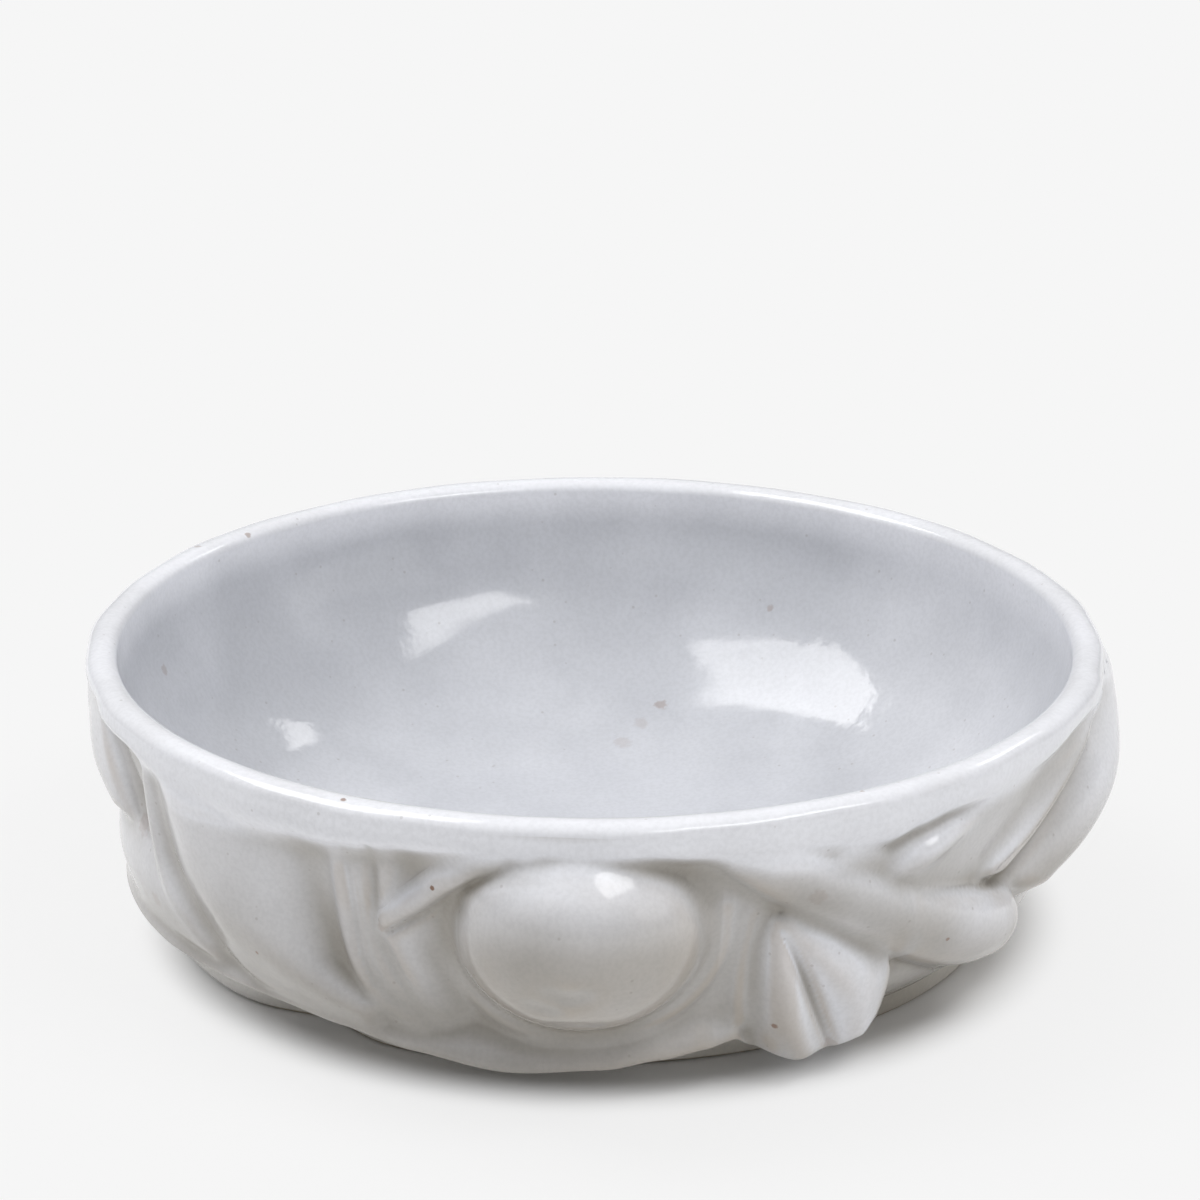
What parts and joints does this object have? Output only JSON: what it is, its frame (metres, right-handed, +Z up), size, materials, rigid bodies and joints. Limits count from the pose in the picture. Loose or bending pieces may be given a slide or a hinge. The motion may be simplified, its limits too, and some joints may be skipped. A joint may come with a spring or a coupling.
{
  "type": "stoneware bowl",
  "caption": "Wide round glazed stoneware serving bowl with a thick coiled rim, a low foot ring and modelled fruit, leaf and branch relief round its outside.",
  "frame": {"origin": "on the table under the middle of the bowl's outline", "axes": "+Z up, front (the large fruit) towards -Y, +X to the right seen from the front"},
  "size_m": [0.2452, 0.2627, 0.072],
  "materials": {
    "glaze": "glossy white-grey stoneware glaze with faint grey speckle, warmer where it is thin",
    "rim_glaze": "the same glaze, lying thicker and whiter on the rim coil",
    "foot_clay": "glazed on its sides, wiped to bare buff stoneware where it stands"
  },
  "bodies": {
    "root": {"thrown_bowl": "glaze", "branch": "glaze", "fan_leaf": "glaze", "fruit": "glaze", "fruit_cradle": "glaze", "stem_rib_left": "glaze", "stem_rib_middle": "glaze", "stem_rib_right": "glaze", "slanting_twig": "glaze", "fruit_facet": "glaze", "left_vein": "glaze", "left_leaf": "glaze", "left_lobe": "glaze", "left_side_leaf": "glaze", "ledge": "glaze", "right_leaf": "glaze", "right_vein": "glaze", "right_strip": "glaze", "right_fold": "glaze", "back_branch": "glaze", "back_fan_leaf": "glaze", "back_fruit": "glaze", "back_cradle": "glaze", "back_rib_left": "glaze", "back_rib_right": "glaze", "back_leaf": "glaze", "back_lobe": "glaze", "hem_front": "glaze", "hem_back": "glaze", "rim_band": "rim_glaze", "foot_ring": "foot_clay"}
  },
  "joints": []
}
